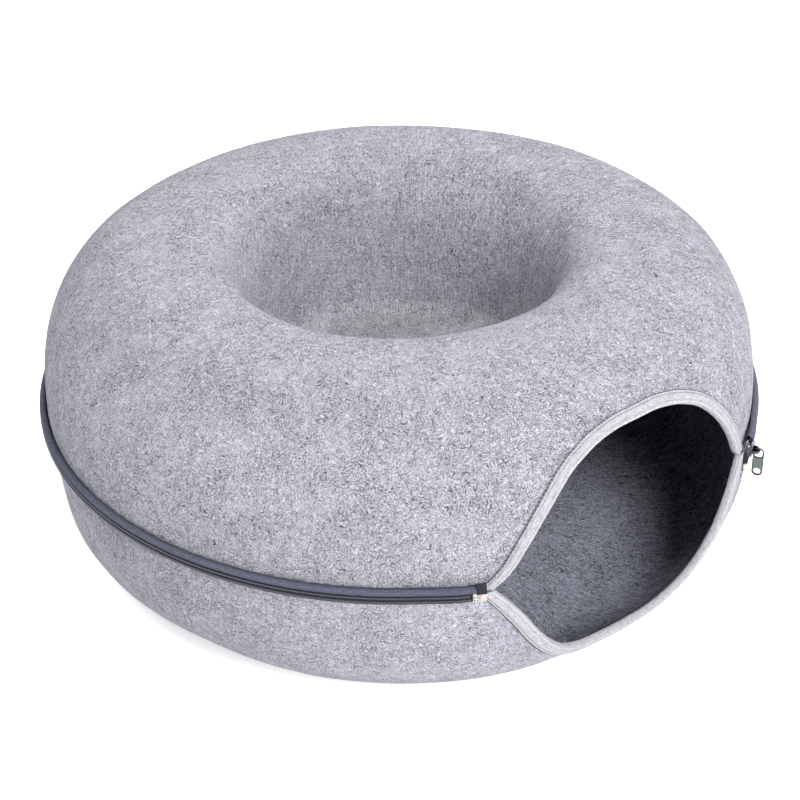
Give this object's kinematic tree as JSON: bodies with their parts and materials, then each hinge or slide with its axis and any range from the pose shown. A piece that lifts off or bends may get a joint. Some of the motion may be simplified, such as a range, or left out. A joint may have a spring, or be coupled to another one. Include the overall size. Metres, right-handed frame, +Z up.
{
  "type": "cat cave bed",
  "caption": "Ring-shaped felt cat cave bed: two moulded shells zipped together round the middle, a sunken round well on top and an eye-shaped bound entrance in the side.",
  "frame": {"origin": "middle of the flat base, on the floor", "axes": "+Z up through the well; the entrance faces -Y; +X is to the right as one looks into the entrance"},
  "size_m": [0.5094, 0.4945, 0.2184],
  "materials": {
    "felt": "matt heather felt, short loose fibres",
    "binding_tape": "matt woven tape",
    "zip_tape": "matt twill tape",
    "zip_coil": "satin nylon coil",
    "zip_slider": "satin gunmetal",
    "zip_pull": "satin gunmetal",
    "zip_pin": "satin",
    "zip_box": "satin"
  },
  "bodies": {
    "root": {"upper_shell": "felt", "lower_shell": "felt", "upper_lip_binding": "binding_tape", "lower_lip_binding": "binding_tape", "zip_tape_upper": "zip_tape", "zip_tape_lower": "zip_tape", "zip_tail": "zip_tape", "zip_coil": "zip_coil", "zip_slider": "zip_slider", "zip_pull": "zip_pull", "zip_pin_upper": "zip_pin", "zip_pin_lower": "zip_pin", "zip_stop": "zip_pin", "zip_box": "zip_box"}
  },
  "joints": []
}
